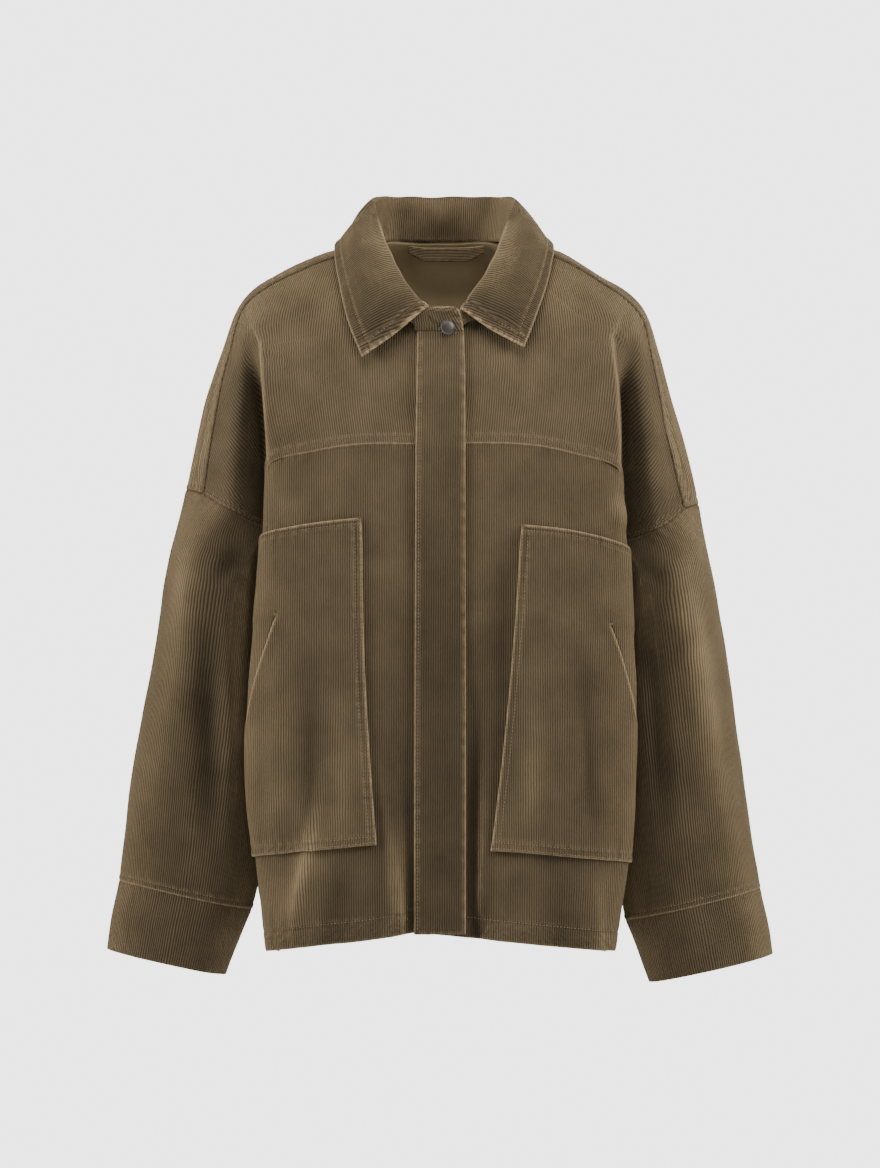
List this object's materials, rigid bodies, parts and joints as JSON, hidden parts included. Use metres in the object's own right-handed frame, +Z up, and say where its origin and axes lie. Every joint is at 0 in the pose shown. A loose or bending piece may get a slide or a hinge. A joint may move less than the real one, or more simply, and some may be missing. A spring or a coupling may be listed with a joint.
{
  "type": "corduroy jacket",
  "caption": "Boxy hip-length corduroy jacket with a pointed collar, fly front, front yoke, patch pockets and dropped sleeves, filled out and hollow.",
  "frame": {"origin": "midway between the shoulders, at the height where the shoulder seams reach the neck", "axes": "+X towards the right hand of someone who looks at the front, -Y out of the front, +Z up"},
  "size_m": [0.6645, 0.2647, 0.7886],
  "materials": {
    "corduroy": "matt ribbed cotton corduroy, olive brown",
    "corduroy_tape": "folded strip of the same corduroy",
    "gunmetal": "dark gunmetal plating, satin"
  },
  "bodies": {
    "root": {"back": "corduroy", "front_yoke_left": "corduroy", "front_left": "corduroy", "sleeve_left": "corduroy", "cuff_left": "corduroy", "front_yoke_right": "corduroy", "front_right": "corduroy", "sleeve_right": "corduroy", "cuff_right": "corduroy", "pocket_left": "corduroy", "pocket_right": "corduroy", "placket": "corduroy", "neck_tab": "corduroy", "collar": "corduroy", "hanger_loop": "corduroy_tape", "snap_cap": "gunmetal"}
  },
  "joints": []
}
